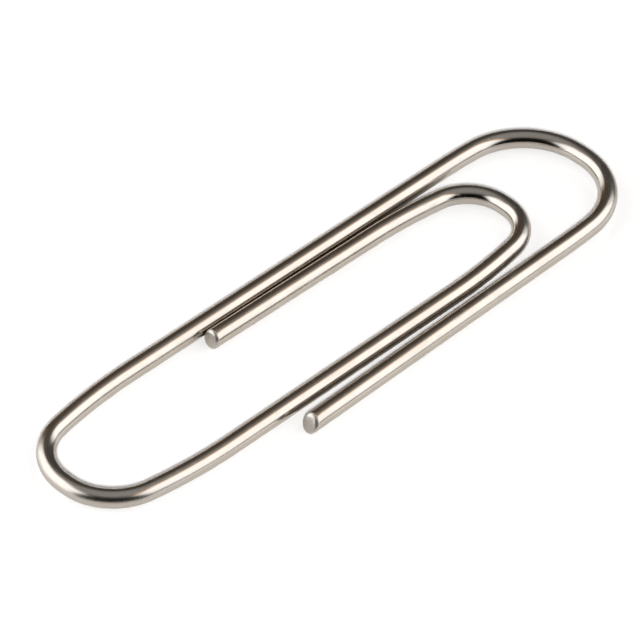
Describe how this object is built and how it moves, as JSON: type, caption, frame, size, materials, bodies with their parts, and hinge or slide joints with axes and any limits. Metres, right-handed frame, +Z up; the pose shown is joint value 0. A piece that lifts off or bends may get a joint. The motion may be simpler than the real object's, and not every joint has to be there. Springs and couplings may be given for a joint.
{
  "type": "paper clip",
  "caption": "Wire paper clip of nested loops: the inner loop springs out of the plane of the outer loop and grips sheets slid between them.",
  "frame": {"origin": "on the surface that the clip lies on, under the middle of its outline", "axes": "+X along the clip to its large bend, +Y across it to the back leg, +Z up through the wire's thickness"},
  "size_m": [0.033, 0.009, 0.0009],
  "materials": {
    "wire": "bright nickel-plated drawn steel wire"
  },
  "bodies": {
    "back_span": {"large_bend_back_half": "wire", "back_leg": "wire", "end_bend_back_half": "wire"},
    "outer_arm": {"outer_leg": "wire", "large_bend_outer_half": "wire"},
    "inner_arm": {"end_bend_inner_half": "wire", "inner_leg": "wire", "small_bend_inner_half": "wire"},
    "tongue": {"small_bend_tongue_half": "wire", "tongue_leg": "wire"}
  },
  "joints": [
    {"name": "inner_loop_flex", "type": "hinge", "parent": "back_span", "child": "inner_arm", "pos_m": [-0.01607, 0.00071, 0.00045], "axis": [0, -1, 0], "range_deg": [0, 8], "stiffness_Nm_per_rad": 0.3},
    {"name": "outer_leg_flex", "type": "hinge", "parent": "back_span", "child": "outer_arm", "pos_m": [0.01607, 0.00024, 0.00045], "axis": [0, 1, 0], "range_deg": [0, 6], "stiffness_Nm_per_rad": 0.35},
    {"name": "tongue_flex", "type": "hinge", "parent": "inner_arm", "child": "tongue", "pos_m": [0.01101, 0.00026, 0.00045], "axis": [0, 1, 0], "range_deg": [0, 4], "stiffness_Nm_per_rad": 0.45}
  ]
}
